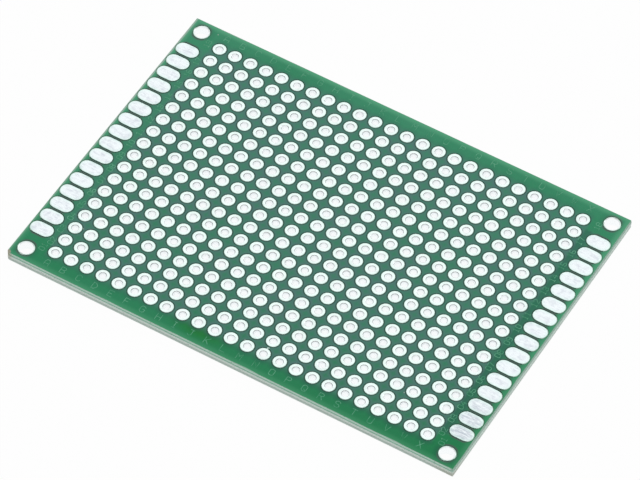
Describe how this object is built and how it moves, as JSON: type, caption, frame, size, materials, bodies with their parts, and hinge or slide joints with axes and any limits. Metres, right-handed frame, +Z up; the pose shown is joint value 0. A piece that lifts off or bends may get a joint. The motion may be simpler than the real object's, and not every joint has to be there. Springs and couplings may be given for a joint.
{
  "type": "prototype board",
  "caption": "Flat rectangular perforated circuit board with a grid of plated, tinned through-holes, long solder pads down both short sides and a screw hole in each corner.",
  "frame": {"origin": "on the resting surface, under the middle of the board", "axes": "+X along the lettered columns from A to the last letter, +Y from row 01 to row 18, +Z up out of the upper face"},
  "size_m": [0.0702, 0.05, 0.0016],
  "materials": {
    "laminate": "snapped glass-epoxy laminate, pale green, slightly translucent",
    "solder_mask": "green solder mask, semi-gloss",
    "tin": "hot-air-levelled tin over plated copper"
  },
  "bodies": {
    "root": {"laminate": "laminate", "solder_mask_top": "solder_mask", "solder_mask_bottom": "solder_mask", "screw_hole_plating": "tin", "edge_pads_top_left": "tin", "edge_pads_top_right": "tin", "edge_pads_bottom_left": "tin", "edge_pads_bottom_right": "tin", "plated_holes_row_01": "tin", "plated_holes_row_02": "tin", "plated_holes_row_03": "tin", "plated_holes_row_04": "tin", "plated_holes_row_05": "tin", "plated_holes_row_06": "tin", "plated_holes_row_07": "tin", "plated_holes_row_08": "tin", "plated_holes_row_09": "tin", "plated_holes_row_10": "tin", "plated_holes_row_11": "tin", "plated_holes_row_12": "tin", "plated_holes_row_13": "tin", "plated_holes_row_14": "tin", "plated_holes_row_15": "tin", "plated_holes_row_16": "tin", "plated_holes_row_17": "tin", "plated_holes_row_18": "tin"}
  },
  "joints": []
}
